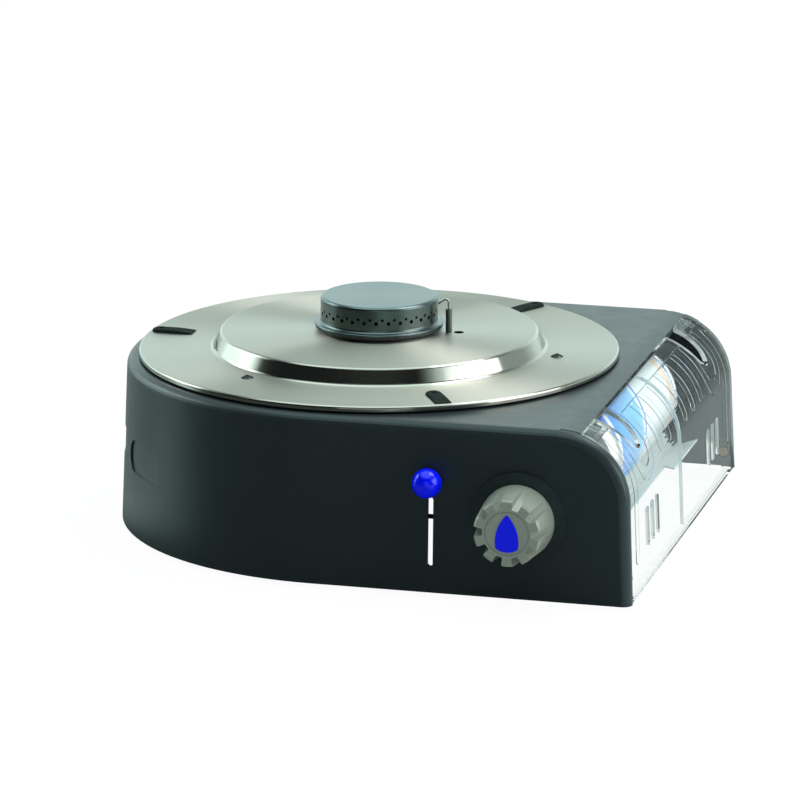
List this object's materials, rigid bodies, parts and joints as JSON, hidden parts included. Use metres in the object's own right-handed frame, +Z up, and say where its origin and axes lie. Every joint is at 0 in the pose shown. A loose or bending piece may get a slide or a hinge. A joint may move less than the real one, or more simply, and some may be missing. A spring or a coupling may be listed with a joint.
{
  "type": "portable gas barbecue",
  "caption": "Low D-shaped portable gas barbecue base with a dished steel plate, central burner, front knob and locking lever, and a gas cartridge under a clear hinged cover.",
  "frame": {"origin": "middle of the whole part's box, on the ground under the rubber feet", "axes": "+Z up, -Y to the front with knob and lever, +X to the end with the cartridge and its clear cover"},
  "size_m": [0.3587, 0.3516, 0.1433],
  "materials": {
    "housing": "fine matt charcoal grain",
    "rubber": "matt",
    "plate": "circular brushed stainless",
    "fastener": "plain",
    "burner_cap": "satin",
    "burner_base": "dark cast",
    "brass": "plain",
    "tube": "plain",
    "ceramic": "dark grey glaze",
    "wire": "plain",
    "lead": "insulated lead",
    "igniter": "plain",
    "valve": "die cast",
    "sheet": "galvanised sheet",
    "knob": "warm light grey",
    "blue": "bright blue",
    "lever": "dark",
    "can": "printed gloss, white with blue",
    "collar": "bright tinplate",
    "stem": "white",
    "clear": "clear"
  },
  "bodies": {
    "housing": {"housing": "housing", "rubber_feet": "rubber", "top_plate": "plate", "plate_spacers": "igniter", "plate_screws": "fastener", "pan_pads": "rubber", "burner_base": "burner_base", "burner_cap": "burner_cap", "burner_nut": "brass", "mixing_tube": "tube", "gas_jet": "brass", "electrode_ceramic": "ceramic", "electrode_wire": "wire", "ignition_lead": "lead", "piezo_igniter": "igniter", "valve_body": "valve", "valve_screws": "fastener", "heat_shield": "sheet", "shield_screws": "fastener", "cartridge_tray": "sheet", "tray_rivets": "fastener", "hinge_pins": "brass"},
    "knob": {"knob": "knob", "knob_pointer": "blue", "valve_spindle": "tube"},
    "lever": {"lever_shaft": "lever", "lever_rod": "lever", "lever_ball": "blue", "lever_crank": "fastener"},
    "cartridge": {"cartridge_can": "can", "cartridge_collar": "collar", "cartridge_stem": "stem", "lock_slide": "fastener"},
    "cover": {"clear_cover": "clear"}
  },
  "joints": [
    {"name": "cover_hinge", "type": "hinge", "parent": "housing", "child": "cover", "pos_m": [0.17235, 0.01408, 0.016], "axis": [0, 1, 0], "range_deg": [0, 90]},
    {"name": "knob_turn", "type": "hinge", "parent": "housing", "child": "knob", "pos_m": [0.11035, -0.14768, 0.0515], "axis": [0, -1, 0], "range_deg": [0, 120]},
    {"name": "lever_swing", "type": "hinge", "parent": "housing", "child": "lever", "pos_m": [0.05635, -0.10593, 0.038], "axis": [1, 0, 0], "range_deg": [0, 57]},
    {"name": "cartridge_lock", "type": "slide", "parent": "housing", "child": "cartridge", "axis": [0, -1, 0], "range_m": [0, 0.00572]}
  ],
  "couplings": [
    {"joint": "lever_swing", "follows": "cartridge_lock", "rad_per_m": 173.7}
  ]
}
